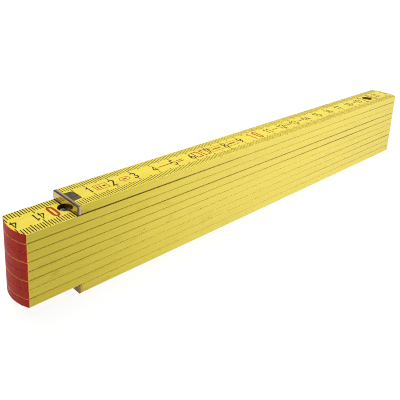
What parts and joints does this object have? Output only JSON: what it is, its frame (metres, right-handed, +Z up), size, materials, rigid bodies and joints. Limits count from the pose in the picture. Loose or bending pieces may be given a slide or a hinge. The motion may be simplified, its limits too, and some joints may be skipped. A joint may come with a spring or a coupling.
{
  "type": "folding rule",
  "caption": "Wooden folding rule, folded flat: lacquered leaves stacked on concealed steel pivot joints, capped ends.",
  "frame": {"origin": "centre of the lowest face, on the surface that the folded rule rests on", "axes": "+X along the folded rule towards the end where all ten leaves are round, +Y across its width, +Z up through the stack"},
  "size_m": [0.242, 0.016, 0.0344],
  "materials": {
    "lacquered_wood": "yellow lacquer, semi-gloss",
    "end_paint": "red paint, semi-gloss",
    "black_ink": "printed ink under lacquer",
    "red_ink": "printed ink under lacquer",
    "cap_steel": "polished steel",
    "plate_steel": "rolled steel",
    "spring_steel": "hardened spring steel",
    "rivet_steel": "zinc-plated steel"
  },
  "bodies": {
    "section_01": {"leaf_01": "lacquered_wood", "plate_pins_01": "rivet_steel", "spring_plate_01": "plate_steel", "end_cap_first": "cap_steel"},
    "section_02": {"leaf_02": "lacquered_wood", "plate_pins_02": "rivet_steel", "spring_plate_02": "plate_steel", "detent_plate_01": "plate_steel", "spring_washer_01": "spring_steel", "rivet_01": "rivet_steel"},
    "section_03": {"leaf_03": "lacquered_wood", "plate_pins_03": "rivet_steel", "spring_plate_03": "plate_steel", "detent_plate_02": "plate_steel", "spring_washer_02": "spring_steel", "rivet_02": "rivet_steel"},
    "section_04": {"leaf_04": "lacquered_wood", "plate_pins_04": "rivet_steel", "spring_plate_04": "plate_steel", "detent_plate_03": "plate_steel", "spring_washer_03": "spring_steel", "rivet_03": "rivet_steel"},
    "section_05": {"leaf_05": "lacquered_wood", "plate_pins_05": "rivet_steel", "spring_plate_05": "plate_steel", "detent_plate_04": "plate_steel", "spring_washer_04": "spring_steel", "rivet_04": "rivet_steel"},
    "section_06": {"leaf_06": "lacquered_wood", "plate_pins_06": "rivet_steel", "spring_plate_06": "plate_steel", "detent_plate_05": "plate_steel", "spring_washer_05": "spring_steel", "rivet_05": "rivet_steel"},
    "section_07": {"leaf_07": "lacquered_wood", "plate_pins_07": "rivet_steel", "spring_plate_07": "plate_steel", "detent_plate_06": "plate_steel", "spring_washer_06": "spring_steel", "rivet_06": "rivet_steel"},
    "section_08": {"leaf_08": "lacquered_wood", "plate_pins_08": "rivet_steel", "spring_plate_08": "plate_steel", "detent_plate_07": "plate_steel", "spring_washer_07": "spring_steel", "rivet_07": "rivet_steel"},
    "section_09": {"leaf_09": "lacquered_wood", "plate_pins_09": "rivet_steel", "spring_plate_09": "plate_steel", "detent_plate_08": "plate_steel", "spring_washer_08": "spring_steel", "rivet_08": "rivet_steel"},
    "section_10": {"leaf_10": "lacquered_wood", "plate_pins_10": "rivet_steel", "detent_plate_09": "plate_steel", "spring_washer_09": "spring_steel", "rivet_09": "rivet_steel", "end_cap_last": "cap_steel"}
  },
  "joints": [
    {"name": "pivot_01", "type": "hinge", "parent": "section_02", "child": "section_01", "pos_m": [0.1, 0, 0.031], "axis": [0, 0, 1], "range_deg": [-180, 180]},
    {"name": "pivot_02", "type": "hinge", "parent": "section_03", "child": "section_02", "pos_m": [-0.1, 0, 0.02755], "axis": [0, 0, 1], "range_deg": [-180, 180]},
    {"name": "pivot_03", "type": "hinge", "parent": "section_04", "child": "section_03", "pos_m": [0.1, 0, 0.0241], "axis": [0, 0, 1], "range_deg": [-180, 180]},
    {"name": "pivot_04", "type": "hinge", "parent": "section_05", "child": "section_04", "pos_m": [-0.1, 0, 0.02065], "axis": [0, 0, 1], "range_deg": [-180, 180]},
    {"name": "pivot_05", "type": "hinge", "parent": "section_06", "child": "section_05", "pos_m": [0.1, 0, 0.0172], "axis": [0, 0, 1], "range_deg": [-180, 180]},
    {"name": "pivot_06", "type": "hinge", "parent": "section_07", "child": "section_06", "pos_m": [-0.1, 0, 0.01375], "axis": [0, 0, 1], "range_deg": [-180, 180]},
    {"name": "pivot_07", "type": "hinge", "parent": "section_08", "child": "section_07", "pos_m": [0.1, 0, 0.0103], "axis": [0, 0, 1], "range_deg": [-180, 180]},
    {"name": "pivot_08", "type": "hinge", "parent": "section_09", "child": "section_08", "pos_m": [-0.1, 0, 0.00685], "axis": [0, 0, 1], "range_deg": [-180, 180]},
    {"name": "pivot_09", "type": "hinge", "parent": "section_10", "child": "section_09", "pos_m": [0.1, 0, 0.0034], "axis": [0, 0, 1], "range_deg": [-180, 180]}
  ]
}
